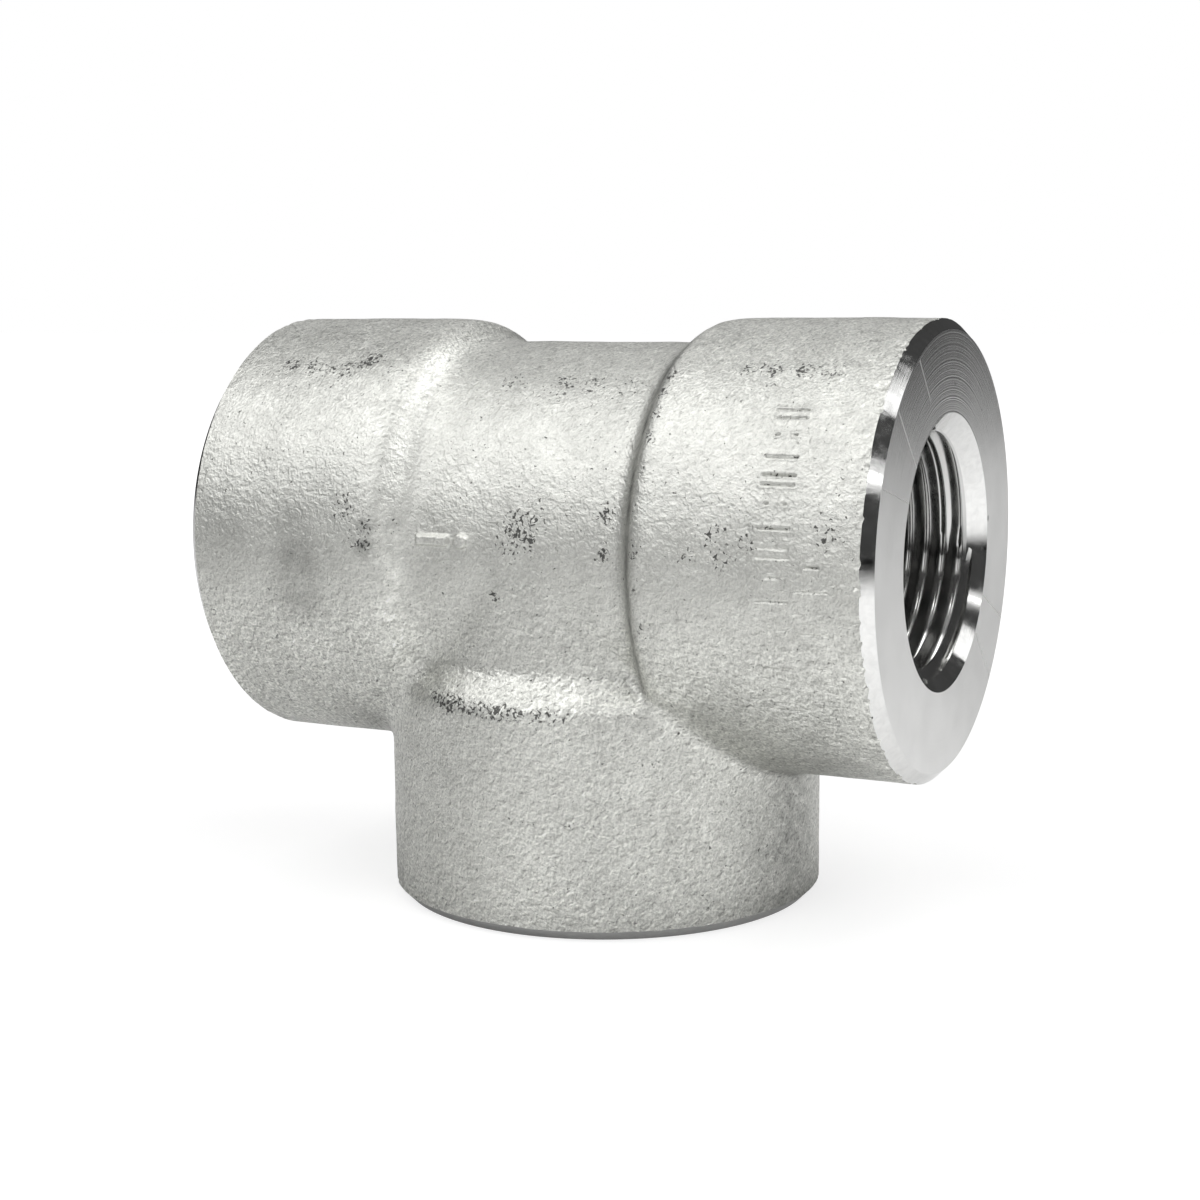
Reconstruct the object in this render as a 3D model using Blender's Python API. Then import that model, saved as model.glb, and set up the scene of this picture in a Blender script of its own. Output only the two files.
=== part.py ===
"""Threaded equal tee, forged in stainless steel and machined at its three ends.

Metres, +Z up. The run lies along X and the branch points down: the branch's end face
stands on z = 0, and the axes cross CENTRE_TO_END above it. The three legs are alike, so
one turned wall section serves all of them, and they meet on 45 degree mitre planes.
"""

import math

import bmesh
import bpy
from mathutils import Matrix, Vector

# Overall sizes

CENTRE_TO_END = 0.038  # crossing of the axes to each end face
COLLAR_RADIUS = 0.02325  # the thick band round each threaded end
COLLAR_STEP = 0.00245  # how far a collar stands proud of the neck
NECK_REACH = 0.0114  # crossing to where the shoulder starts to rise
SHOULDER_LENGTH = 0.0032  # slope between neck and collar, along the axis

# Soft edges of the forging

SHOULDER_ROUND = 0.0025  # outer edge of the shoulder
SHOULDER_FILLET = 0.0012  # inner corner, where the shoulder meets the neck
CROTCH_FILLET = 0.0024  # along the mitre lines between run and branch
CROTCH_FADE = 0.010  # distance from the crossing at which that fillet is full

# Machined ends: 3/4 inch taper pipe thread, shown at its drilled size

END_CHAMFER = 0.0012  # turned on the outer corner of each end, at 45 degrees
THREAD_RADIUS = 0.01183  # at the thread's crests, in the plane of the end face
THREAD_HEIGHT = 0.00145  # crest to root
THREAD_TAPER = 1 / 32  # loss of radius for each unit of depth
THREAD_DEPTH = 0.0185  # length of the tapered hole
MOUTH_MARGIN = 0.00062  # how far the countersink reaches past the thread's roots
DRILL_SHOULDER = 0.00055  # step from the tapered hole down to the flow bore
DRILL_LEAD = 0.0006  # length of the drill point's cone at that step

# Facets

SIDES = 72
ROUND_STEPS = 5
FILLET_STEPS = 3
CROTCH_STEPS = 3
WELD = 0.00002

# Places that follow from the sizes

NECK_RADIUS = COLLAR_RADIUS - COLLAR_STEP
COLLAR_START = NECK_REACH + SHOULDER_LENGTH
MOUTH_RADIUS = THREAD_RADIUS + THREAD_HEIGHT + MOUTH_MARGIN
THREAD_END = CENTRE_TO_END - THREAD_DEPTH
THREAD_END_RADIUS = THREAD_RADIUS - THREAD_DEPTH * THREAD_TAPER
FLOW_RADIUS = THREAD_END_RADIUS - DRILL_SHOULDER
CROTCH_WIDTH = CROTCH_FILLET / math.sqrt(2)


def clear_scene():
    for obj in list(bpy.data.objects):
        bpy.data.objects.remove(obj, do_unlink=True)


def steel(name, colour, roughness):
    """A bare metal surface."""
    material = bpy.data.materials.new(name)
    material.use_nodes = True
    shader = material.node_tree.nodes["Principled BSDF"]
    shader.inputs["Base Color"].default_value = (*colour, 1.0)
    shader.inputs["Roughness"].default_value = roughness
    shader.inputs["Metallic"].default_value = 1.0
    return material


def rounded(before, corner, after, radius, steps):
    """Points of the arc that replaces a corner and is tangent to both of its sides."""
    towards_before = (before - corner).normalized()
    towards_after = (after - corner).normalized()
    half_angle = towards_before.angle(towards_after) / 2
    tangent = radius / math.tan(half_angle)
    middle = (towards_before + towards_after).normalized()
    centre = corner + middle * (radius / math.sin(half_angle))
    first = corner + towards_before * tangent - centre
    last = corner + towards_after * tangent - centre
    sweep = first.angle(last)
    points = []
    for step in range(steps + 1):
        share = step / steps
        blend = first * math.sin((1 - share) * sweep) + last * math.sin(share * sweep)
        points.append(centre + blend / math.sin(sweep))
    return points


def forged_profile():
    """Outside of a leg as (distance from the crossing, radius), out to the end chamfer."""
    neck_start = Vector((0, NECK_RADIUS))
    shoulder_foot = Vector((NECK_REACH, NECK_RADIUS))
    shoulder_top = Vector((COLLAR_START, COLLAR_RADIUS))
    collar_end = Vector((CENTRE_TO_END - END_CHAMFER, COLLAR_RADIUS))
    points = [neck_start]
    points += rounded(neck_start, shoulder_foot, shoulder_top, SHOULDER_FILLET, FILLET_STEPS)
    points += rounded(shoulder_foot, shoulder_top, collar_end, SHOULDER_ROUND, ROUND_STEPS)
    points.append(collar_end)
    return points


def machined_profile():
    """From the end chamfer across the face, down the countersink and back along the bore."""
    countersink = MOUTH_RADIUS - THREAD_RADIUS
    countersink_radius = THREAD_RADIUS - countersink * THREAD_TAPER
    return [
        Vector((CENTRE_TO_END, COLLAR_RADIUS - END_CHAMFER)),
        Vector((CENTRE_TO_END, MOUTH_RADIUS)),
        Vector((CENTRE_TO_END - countersink, countersink_radius)),
        Vector((THREAD_END, THREAD_END_RADIUS)),
        Vector((THREAD_END - DRILL_LEAD, FLOW_RADIUS)),
        Vector((0, FLOW_RADIUS)),
    ]


def turned_leg():
    """One leg along +X, as an open shell whose wall section is the whole profile."""
    leg = bmesh.new()
    forged = forged_profile()
    points = forged + machined_profile()
    verts = [leg.verts.new((point.x, 0, point.y)) for point in points]
    edges = [leg.edges.new(pair) for pair in zip(verts, verts[1:])]
    bmesh.ops.spin(
        leg,
        geom=verts + edges,
        cent=(0, 0, 0),
        axis=(1, 0, 0),
        angle=math.tau,
        steps=SIDES,
    )
    bmesh.ops.remove_doubles(leg, verts=leg.verts, dist=WELD)
    return leg


def skin_faces(leg, axis, side):
    """Faces of the leg's forged skin on one side of the branch's middle plane."""
    found = []
    for face in leg.faces:
        centre = face.calc_center_median()
        from_axis = (centre - axis * centre.dot(axis)).length
        is_skin = from_axis > MOUTH_RADIUS and centre.dot(axis) < CENTRE_TO_END - END_CHAMFER
        if is_skin and centre.x * side > 0:
            found.append(face)
    return found


def cut_on_mitre(leg, axis, side, normal):
    """Ends the leg on a mitre plane, and adds edge loops beside it to carry the fillet."""
    bmesh.ops.bisect_plane(
        leg,
        geom=leg.verts[:] + leg.edges[:] + leg.faces[:],
        dist=WELD / 10,
        plane_co=(0, 0, 0),
        plane_no=normal,
        clear_inner=True,
    )
    for step in range(1, CROTCH_STEPS + 1):
        skin = skin_faces(leg, axis, side)
        edges = {edge for face in skin for edge in face.edges}
        verts = {vert for face in skin for vert in face.verts}
        bmesh.ops.bisect_plane(
            leg,
            geom=list(verts) + list(edges) + skin,
            dist=WELD / 10,
            plane_co=normal * (CROTCH_WIDTH * step / CROTCH_STEPS),
            plane_no=normal,
        )


def fill_crotch(body, side):
    """Moves the skin beside one mitre line outwards, onto an arc tangent to both legs."""
    across = Vector((side, 0, 1)).normalized()
    outwards = Vector((side, 0, -1)).normalized()
    for vert in body.verts:
        if vert.co.length < (NECK_RADIUS + MOUTH_RADIUS) / 2:
            continue
        from_mitre = abs(vert.co.dot(across))
        from_crossing = vert.co.dot(outwards)
        if from_mitre >= CROTCH_WIDTH or from_crossing <= 0:
            continue
        arc = CROTCH_FILLET * math.sqrt(2) - math.sqrt(CROTCH_FILLET**2 - from_mitre**2)
        full = min(1.0, from_crossing / CROTCH_FADE)
        vert.co += outwards * (arc - from_mitre) * full


def add_mesh(body, leg, turn):
    """Adds a leg's shell to the body after turning or mirroring it into place."""
    leg.transform(turn)
    if turn.determinant() < 0:
        bmesh.ops.reverse_faces(leg, faces=leg.faces)
    mesh = bpy.data.meshes.new("leg")
    leg.to_mesh(mesh)
    body.from_mesh(mesh)
    bpy.data.meshes.remove(mesh)


def tee_mesh():
    """Three legs welded on their mitres, with the crotches filled."""
    along_run = Vector((1, 0, 0))
    down_branch = Vector((0, 0, -1))
    right_mitre = Vector((1, 0, 1)).normalized()
    left_mitre = Vector((-1, 0, 1)).normalized()
    body = bmesh.new()

    run_leg = turned_leg()
    cut_on_mitre(run_leg, along_run, 1, right_mitre)
    add_mesh(body, run_leg, Matrix.Identity(4))
    add_mesh(body, run_leg, Matrix.Scale(-1, 4, along_run))
    run_leg.free()

    branch_leg = turned_leg()
    branch_leg.transform(Matrix.Rotation(math.pi / 2, 4, "Y"))
    cut_on_mitre(branch_leg, down_branch, 1, -right_mitre)
    cut_on_mitre(branch_leg, down_branch, -1, -left_mitre)
    add_mesh(body, branch_leg, Matrix.Identity(4))
    branch_leg.free()

    bmesh.ops.remove_doubles(body, verts=body.verts, dist=WELD)
    for side in (1, -1):
        fill_crotch(body, side)
    bmesh.ops.recalc_face_normals(body, faces=body.faces)
    body.transform(Matrix.Translation((0, 0, CENTRE_TO_END)))
    return body


def is_machined(face):
    """True on an end face, its chamfer, its countersink and the bores."""
    centre = face.calc_center_median() - Vector((0, 0, CENTRE_TO_END))
    reach = max(abs(centre.x), -centre.z)
    return reach > CENTRE_TO_END - END_CHAMFER or centre.length < NECK_RADIUS * 0.9


def build_tee():
    body = tee_mesh()
    mesh = bpy.data.meshes.new("tee_body")
    mesh.materials.append(steel("forged_skin", (0.52, 0.51, 0.49), 0.55))
    mesh.materials.append(steel("turned_steel", (0.60, 0.60, 0.59), 0.30))
    for face in body.faces:
        face.material_index = 1 if is_machined(face) else 0
    body.to_mesh(mesh)
    body.free()
    mesh.shade_smooth()
    mesh.set_sharp_from_angle(angle=math.radians(28))
    tee = bpy.data.objects.new("tee_body", mesh)
    bpy.context.scene.collection.objects.link(tee)
    return tee


clear_scene()
build_tee()
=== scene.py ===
"""Looks of a threaded equal tee, forged in stainless steel and machined at its ends."""

import math
import random

import bmesh
import bpy
from mathutils import Matrix, Vector, noise


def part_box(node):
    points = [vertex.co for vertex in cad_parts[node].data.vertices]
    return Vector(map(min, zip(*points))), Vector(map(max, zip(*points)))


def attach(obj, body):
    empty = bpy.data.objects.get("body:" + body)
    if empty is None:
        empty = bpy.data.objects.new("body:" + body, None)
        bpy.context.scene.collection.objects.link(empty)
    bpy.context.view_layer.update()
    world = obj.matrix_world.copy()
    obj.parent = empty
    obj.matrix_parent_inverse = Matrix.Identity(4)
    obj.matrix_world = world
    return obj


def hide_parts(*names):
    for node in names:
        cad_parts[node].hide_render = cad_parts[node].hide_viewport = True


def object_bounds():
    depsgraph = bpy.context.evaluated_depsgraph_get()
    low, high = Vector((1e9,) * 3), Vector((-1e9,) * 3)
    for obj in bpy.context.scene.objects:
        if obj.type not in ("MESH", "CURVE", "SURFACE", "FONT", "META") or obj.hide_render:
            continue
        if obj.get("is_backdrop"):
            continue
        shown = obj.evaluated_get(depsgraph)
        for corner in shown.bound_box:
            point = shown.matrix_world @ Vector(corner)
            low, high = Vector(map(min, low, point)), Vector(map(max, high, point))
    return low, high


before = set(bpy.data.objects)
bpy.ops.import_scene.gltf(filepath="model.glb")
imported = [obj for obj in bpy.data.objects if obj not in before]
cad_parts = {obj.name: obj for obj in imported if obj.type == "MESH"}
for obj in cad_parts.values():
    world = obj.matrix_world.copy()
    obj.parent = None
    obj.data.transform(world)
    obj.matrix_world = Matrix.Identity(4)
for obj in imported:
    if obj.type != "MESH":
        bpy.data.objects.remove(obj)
cad_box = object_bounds()

# Forged blank
# The tee starts as one solid stainless forging, pressed hot between two dies: a neck with a
# thick collar at each end, and a branch of the same section below. Every edge of it is soft.

box_low, box_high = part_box("tee_body")
REACH = box_high[0]
CROSSING = Vector((0, 0, REACH))
RIGHT = Vector((1, 0, 0))
LEFT = Vector((-1, 0, 0))
DOWN = Vector((0, 0, -1))
# Radius of the collars, how far they stand out from the neck, and the neck's radius
COLLAR = box_high[1]
COLLAR_STEP = 0.00245
NECK = COLLAR - COLLAR_STEP
# How far each neck reaches from the crossing, and how long the shoulder after it is
NECK_REACH = 0.0121
RUN_SHOULDER = 0.0020
LEFT_SHOULDER = 0.0028
BRANCH_NECK = 0.0117
BRANCH_SHOULDER = 0.0031
# Bevels at a shoulder's foot and top, and their steps
SHOULDER_FOOT = 0.0003
SHOULDER_TOP = 0.0006
ROUND_STEPS = 5
# Length that is faced off later
SPARE = 0.002
BLANK_SIDES = 180
VOXEL = 0.00058
# How squarely a face looks along a leg when it is that leg's end
SQUARE = 0.99


def only(obj):
    """Makes an object the only one selected, and the active one."""
    bpy.ops.object.select_all(action="DESELECT")
    obj.select_set(True)
    bpy.context.view_layer.objects.active = obj


def edit(obj, kind):
    """Starts editing an object's vertices, edges or faces, with none of them selected."""
    only(obj)
    bpy.ops.object.mode_set(mode="EDIT")
    bpy.ops.mesh.select_mode(type=kind)
    bpy.ops.mesh.select_all(action="DESELECT")


def leave_edit():
    """Ends edit mode."""
    bpy.ops.object.mode_set(mode="OBJECT")


def pick(obj, kind, test):
    """Selects the vertices, edges or faces that pass a test, in edit mode."""
    mesh = bmesh.from_edit_mesh(obj.data)
    for item in getattr(mesh, kind):
        item.select_set(bool(test(item)))
    bmesh.update_edit_mesh(obj.data)


def apply_modifiers(obj):
    """Applies all of an object's modifiers, in their order."""
    only(obj)
    for modifier in list(obj.modifiers):
        bpy.ops.object.modifier_apply(modifier=modifier.name)


def from_crossing(point, way):
    """How far along one leg a point lies, counted from the crossing of the axes."""
    return (Vector(point) - CROSSING).dot(way)


def draw_out(obj, way, length, swell):
    """Extrudes the end face that looks along a leg, and makes it wider by a factor."""
    pick(obj, "faces", lambda face: face.normal.dot(way) > SQUARE)
    bpy.ops.mesh.extrude_region_move(TRANSFORM_OT_translate={"value": way * length})
    mesh = bmesh.from_edit_mesh(obj.data)
    middle = next(face for face in mesh.faces if face.select).calc_center_bounds()
    bpy.ops.transform.resize(value=(swell, swell, swell), center_override=middle)


def round_ring(obj, way, place, width):
    """Bevels the ring of edges that goes round a leg at one place."""
    bpy.ops.mesh.select_mode(type="EDGE")
    pick(
        obj,
        "edges",
        lambda edge: all(abs(from_crossing(v.co, way) - place) < VOXEL / 10 for v in edge.verts),
    )
    bpy.ops.mesh.bevel(offset=width, segments=ROUND_STEPS, affect="EDGES")
    bpy.ops.mesh.select_mode(type="FACE")


def press_collar(obj, way, neck_reach, shoulder):
    """Presses a shoulder and a collar on one end of a neck."""
    draw_out(obj, way, shoulder, COLLAR / NECK)
    draw_out(obj, way, REACH + SPARE - neck_reach - shoulder, 1)
    round_ring(obj, way, neck_reach, SHOULDER_FOOT)
    round_ring(obj, way, neck_reach + shoulder, SHOULDER_TOP)


bpy.ops.object.select_all(action="DESELECT")
bpy.ops.mesh.primitive_cylinder_add(
    vertices=BLANK_SIDES,
    radius=NECK,
    depth=2 * NECK_REACH,
    location=CROSSING,
    rotation=(0, math.pi / 2, 0),
)
tee = bpy.context.object
tee.name = "forged_tee"
bpy.ops.object.transform_apply(location=True, rotation=True, scale=True)
edit(tee, "FACE")
press_collar(tee, RIGHT, NECK_REACH, RUN_SHOULDER)
press_collar(tee, LEFT, NECK_REACH, LEFT_SHOULDER)
leave_edit()

bpy.ops.object.select_all(action="DESELECT")
bpy.ops.mesh.primitive_cylinder_add(
    vertices=BLANK_SIDES,
    radius=NECK,
    depth=BRANCH_NECK,
    location=CROSSING + DOWN * BRANCH_NECK / 2,
)
branch = bpy.context.object
bpy.ops.object.transform_apply(location=True, rotation=True, scale=True)
edit(branch, "FACE")
press_collar(branch, DOWN, BRANCH_NECK, BRANCH_SHOULDER)
leave_edit()

bpy.ops.object.select_all(action="DESELECT")
branch.select_set(True)
tee.select_set(True)
bpy.context.view_layer.objects.active = tee
bpy.ops.object.join()
one_body = tee.modifiers.new("one body", "REMESH")
one_body.mode = "VOXEL"
one_body.voxel_size = VOXEL
apply_modifiers(tee)

# Soft edges of the forging
# The dies have a fillet where run and branch meet. The shoulders on top are rounder towards
# the parting plane, y = 0, where the two halves met and the metal was drawn out.

# How far the crotch's fillet reaches beside the mitre planes, how far below the crossing it
# fades in, and its share of softness at the parting plane
CROTCH_REACH = 0.0030
CROTCH_FADE = 0.004
CROTCH_AT_PARTING = 0.35
CROTCH_ROUNDS = 26
# Where two shoulders meet in front on the right, how far round it the corner stays crisp, and
# its least share of softness
CRISP_CORNER = Vector((0.0135, -0.0185, -0.0128))
CRISP_REACH = 0.0045
CRISP_LEAST = 0.1
# How far along the run a shoulder's rounding reaches, how far from the parting plane as a share
# of the collar, and the left shoulder's least share of it
SHOULDER_REACH = 0.006
SHOULDER_SIDE = 0.6
LEFT_ROUNDED = 0.5
SHOULDER_ROUNDS = 60
# Softness is full over the inner third of its reach, and fades from there
FULL_INSIDE = 1.5
SKIN_ROUNDS = 2


def crotch_weight(place):
    """How soft the fillet between run and branch is here, 0 to 1."""
    beside = min(abs(place.x + place.z), abs(place.x - place.z)) / math.sqrt(2)
    near = max(0.0, 1 - beside / CROTCH_REACH)
    below = min(1.0, max(0.0, -place.z) / CROTCH_FADE)
    out = min(1.0, abs(place.y) / NECK)
    off_parting = CROTCH_AT_PARTING + (1 - CROTCH_AT_PARTING) * out
    blunt = min(1.0, CRISP_LEAST + ((place - CRISP_CORNER).length / CRISP_REACH) ** 2)
    return min(1.0, FULL_INSIDE * near) * below * off_parting * blunt


def shoulder_weight(place):
    """How much a run shoulder is rounded: towards the parting plane, and all of the left one."""
    beyond = abs(abs(place.x) - NECK_REACH - RUN_SHOULDER / 2)
    near = max(0.0, 1 - beyond / SHOULDER_REACH)
    at_parting = max(0.0, 1 - abs(place.y) / (SHOULDER_SIDE * COLLAR)) if place.z > 0 else 0.0
    if place.x < 0:
        at_parting = max(at_parting, LEFT_ROUNDED)
    return min(1.0, FULL_INSIDE * near) * at_parting


for name, weight, rounds in (
    ("crotch", crotch_weight, CROTCH_ROUNDS),
    ("shoulder", shoulder_weight, SHOULDER_ROUNDS),
):
    group = tee.vertex_groups.new(name=name)
    for vert in tee.data.vertices:
        share = weight(vert.co - CROSSING)
        if share > 0:
            group.add([vert.index], share, "REPLACE")
    soften = tee.modifiers.new(name, "SMOOTH")
    soften.vertex_group = name
    soften.iterations = rounds
soften = tee.modifiers.new("skin", "SMOOTH")
soften.iterations = SKIN_ROUNDS
apply_modifiers(tee)

# Raised and stamped marks
# A forging carries a raised mark from its die and a row of marks punched into a collar. Here
# they are a plain bar with a dot, and rows of bars and dots with no meaning.

# The raised mark: metres along the run and up, half the bar's size, and how wide its sides slope
BAR_PLACE = Vector((-0.0091, 0.0014))
BAR_HALF = Vector((0.0017, 0.00038))
DOT_PLACE = Vector((-0.0058, 0.0014))
DOT_RADIUS = 0.0006
MARK_SLOPE = 0.00028
MARK_HEIGHT = 0.00055
# The strokes: their depth, half their width at the top, the height of the rim beside them, and
# how far out that rim is highest and where it ends, both in half widths
STAMP_DEPTH = 0.00040
STAMP_WIDTH = 0.00016
STAMP_RIM = 0.00008
RIM_OUT = 1.6
RIM_END = 4
# How far a punch reaches along the collar to either side, and degrees from one to the next
PUNCH_REACH = 0.003
PUNCH_PITCH = 5.6
CHAMFER = 0.0012
# Where the mesh is made finer: how near the right end's chamfer, and how far back there as a
# share of the collar, how near the raised mark, and how near a stroke
EDGE_BAND = 0.0006
EDGE_BACK = 0.4
MARK_BAND = (0.0045, 0.0018)
STROKE_BAND = 0.0006
FINER_CUTS = 3
# Strokes of each punch: millimetres along the collar, round it, and length
STROKES = {
    "long": [(0.0, 0.0, 3.1)],
    "short": [(0.0, 0.0, 1.3)],
    "pair": [(0.0, 0.45, 3.1), (0.0, -0.45, 3.1)],
    "dots": [(-0.9, 0.0, 0.2), (0.9, 0.0, 0.2)],
}
# Each row: its place along the collar, degrees up of its first punch, and what follows below
# that one, with how deep each went
ROWS = [
    (
        0.0284,
        39.0,
        [
            ("pair", 0.7),
            ("dots", 0.9),
            ("long", 0.8),
            ("pair", 0.8),
            ("dots", 0.9),
            ("long", 0.9),
            ("pair", 0.35),
            ("short", 0.6),
            ("long", 0.5),
            ("pair", 0.3),
            ("dots", 0.3),
            ("long", 0.35),
            ("short", 0.5),
            ("pair", 0.3),
        ],
    ),
    (
        0.0323,
        2.5,
        [
            ("short", 0.7),
            ("long", 0.4),
            ("dots", 0.5),
            ("pair", 0.3),
            ("long", 0.3),
            ("short", 0.4),
            ("long", 0.3),
        ],
    ),
]
PUNCHES = [
    (row, first - PUNCH_PITCH * count, kind, deep)
    for row, first, kinds in ROWS
    for count, (kind, deep) in enumerate(kinds)
]


def smooth_step(value):
    """A share from 0 to 1 with a soft start and end."""
    value = min(1.0, max(0.0, value))
    return value * value * (3 - 2 * value)


def punch_distance(place, row, degrees, kind):
    """Distance over the collar from a point to the nearest stroke of one punch."""
    beside = place.x - row
    above = (math.atan2(place.z, -place.y) - math.radians(degrees)) * COLLAR
    distances = []
    for along, across, length in STROKES[kind]:
        past_end = max(0.0, abs(beside - along / 1000) - length / 2000)
        distances.append(math.hypot(past_end, above - across / 1000))
    return min(distances)


def raised_mark(place):
    """Height of the die's mark on the front of the neck."""
    if place.y > 0:
        return 0.0
    flat = Vector((place.x, place.z))
    beyond = Vector([max(0.0, abs(d) - h) for d, h in zip(flat - BAR_PLACE, BAR_HALF)])
    bar = smooth_step(1 - beyond.length / MARK_SLOPE)
    dot = smooth_step(1 - max(0.0, (flat - DOT_PLACE).length - DOT_RADIUS) / MARK_SLOPE)
    return MARK_HEIGHT * max(bar, dot)


def punched(place):
    """Depth of the punched strokes, each with a low rim of metal pushed up beside it."""
    height = 0.0
    for row, degrees, kind, deep in PUNCHES:
        if abs(place.x - row) > PUNCH_REACH or place.y > 0:
            continue
        distance = punch_distance(place, row, degrees, kind)
        if distance > RIM_END * STAMP_WIDTH:
            continue
        groove = -STAMP_DEPTH * deep * max(0.0, 1 - distance / STAMP_WIDTH)
        off_rim = (distance - RIM_OUT * STAMP_WIDTH) / STAMP_WIDTH
        height += groove + STAMP_RIM * deep * math.exp(-(off_rim**2))
    return height


def near_mark(place):
    """True where the skin needs a finer mesh, for a mark or for the right end's chipped edge."""
    if abs(place.x - (REACH - CHAMFER)) < EDGE_BAND and place.y < EDGE_BACK * COLLAR:
        return True
    if place.y > 0:
        return False
    beside, above = abs(place.x - BAR_PLACE.x), abs(place.z - BAR_PLACE.y)
    if beside < MARK_BAND[0] and above < MARK_BAND[1]:
        return True
    return any(
        abs(place.x - row) < PUNCH_REACH
        and punch_distance(place, row, degrees, kind) < STROKE_BAND
        for row, degrees, kind, _ in PUNCHES
    )


edit(tee, "FACE")
pick(tee, "faces", lambda face: near_mark(face.calc_center_median() - CROSSING))
bpy.ops.mesh.subdivide(number_cuts=FINER_CUTS)
leave_edit()

# Forged skin
# Scale, shot blasting and pickling leave the skin uneven, with small pits where scale was
# pressed in. Waves wider than a millimetre are in the mesh, and the grain is in the material.

# The skin's waves: length and height of each, and how far all of them are let down
WAVES = [(0.009, 0.00008), (0.0032, 0.00004), (0.0014, 0.00002)]
WAVE_TOP = 0.00008
# The ridges along the collars: degrees up, height and width, how far they wander and over what
# length, and over what length they break off
LINE_DEGREES = (53, -55)
LINE_HEIGHT = 0.00006
LINE_WIDTH = 0.0005
LINE_WANDER = 0.0006
LINE_BEND = 0.004
LINE_BREAK = 0.0017
# The chips: how deep and how far from the chamfer's edge, their two sizes, the small ones'
# share, and how much of the noise is no chip
CHIP_DEPTH = 0.00030
CHIP_REACH = 0.0013
CHIP_SIZE = 0.0011
SMALL_CHIP = 0.0005
SMALL_SHARE = 0.7
UNCHIPPED = 0.1
# The skin's colour and finish
SKIN_GREY = 0.658
SKIN_TINT = (1.0, 1.005, 0.955)
SKIN_ROUGHNESS = 0.44
# Waves to the metre of each of its patterns
STAIN = 150
BLOTCH = 650
RIPPLE = 1500
SPECK = 2600
GRAIN = 3900
RIPPLE_DETAIL = 4.0
RIPPLE_WANDER = 0.5
# Depth of the ripples, and the shares of it that grain and pits have
RELIEF = 0.00013
GRAIN_SHARE = 0.5
PIT_SUNK = 0.5
# How much the attribute called pitting adds to the specks, where a speck turns into a pit, and
# how much of its grey a pit keeps
PITTING_GAIN = 0.32
PIT_EDGE = (0.72, 0.80)
PIT_SHADE = 0.20
# Where the slow and the quicker pattern lie in their noise, and how they change the grey
STAIN_SPREAD = (0.35, 0.65)
STAINED = 0.04
BLOTCH_SPREAD = (0.3, 0.7)
BLOTCHED = (0.95, 1.05)
SMUDGE_BROKEN = (0.5, 1.5)
# How strong the fine mottle of grain and painted ripple shade is, and its share where the skin was
# rubbed clean: how high that is, and between which distances from there the mottle comes back
MOTTLE = 2.0
CLEAN_SHARE = 0.28
CLEAN_HEIGHT = 0.0445
CLEAN_REACH = (0.003, 0.0145)
# The left end is rougher: between which places along the run that fades, and how much it is
LEFT_FADE = (-0.016, -0.011)
ROUGHER_LEFT = 1.2
# Painted shade on the lower right side of each ripple, as if lit from the upper left: how far that
# side is off, and how dark
LEE_SIDE = (-0.00007, 0, 0.0001)
LEE_DARK = 1.2


def uneven(place):
    """Height of the skin's waves, from slow to quick, whose tops reach the blank's size."""
    return sum(size * noise.noise(place / length) for length, size in WAVES) - WAVE_TOP


def trim_line(place):
    """Height of the faint ragged ridges that run along the collars, front and back."""
    if abs(place.x) < NECK_REACH + RUN_SHOULDER:
        return 0.0
    height = 0.0
    up = math.degrees(math.atan2(place.z, abs(place.y)))
    for degrees in LINE_DEGREES:
        off = math.radians(up - degrees) * COLLAR + LINE_WANDER * noise.noise(place / LINE_BEND)
        ragged = 0.5 + 0.5 * noise.noise(place / LINE_BREAK)
        height += LINE_HEIGHT * ragged * math.exp(-((off / LINE_WIDTH) ** 2))
    return height


def chipped_edge(place):
    """Depth of small chips beside each end's chamfer, which make its outline ragged."""
    reach = max(abs(place.x), -place.z)
    near = smooth_step(1 - abs(reach - (REACH - CHAMFER)) / CHIP_REACH)
    small = SMALL_SHARE * noise.noise(place / SMALL_CHIP)
    chip = noise.noise(place / CHIP_SIZE) + small - UNCHIPPED
    return -CHIP_DEPTH * near * max(0.0, chip)


normals = [vert.normal.copy() for vert in tee.data.vertices]
for vert, normal in zip(tee.data.vertices, normals):
    place = vert.co - CROSSING
    height = uneven(place) + trim_line(place) + chipped_edge(place)
    height += raised_mark(place) + punched(place)
    vert.co += normal * height


def add(material, kind, inputs, **settings):
    """Adds a shader node, and sets or wires its inputs."""
    node = material.node_tree.nodes.new(kind)
    for name, value in settings.items():
        setattr(node, name, value)
    for key, value in inputs.items():
        if isinstance(value, bpy.types.NodeSocket):
            material.node_tree.links.new(value, node.inputs[key])
        else:
            node.inputs[key].default_value = value
    return node


def wire(material, value, shader, key):
    """Links a value to one of a shader's inputs."""
    material.node_tree.links.new(value, shader.inputs[key])


def calc(material, operation, first, second=0.0):
    """A number worked out from one or two others."""
    return add(material, "ShaderNodeMath", {0: first, 1: second}, operation=operation).outputs[0]


def ramp(material, value, low, high, start, end):
    """A number that goes from start to end while the value goes from low to high."""
    inputs = {"Value": value, "From Min": low, "From Max": high, "To Min": start, "To Max": end}
    return add(material, "ShaderNodeMapRange", inputs).outputs["Result"]


def vector(material, operation, first, second=(0, 0, 0)):
    """A vector node that combines two vectors."""
    return add(material, "ShaderNodeVectorMath", {0: first, 1: second}, operation=operation)


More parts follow.
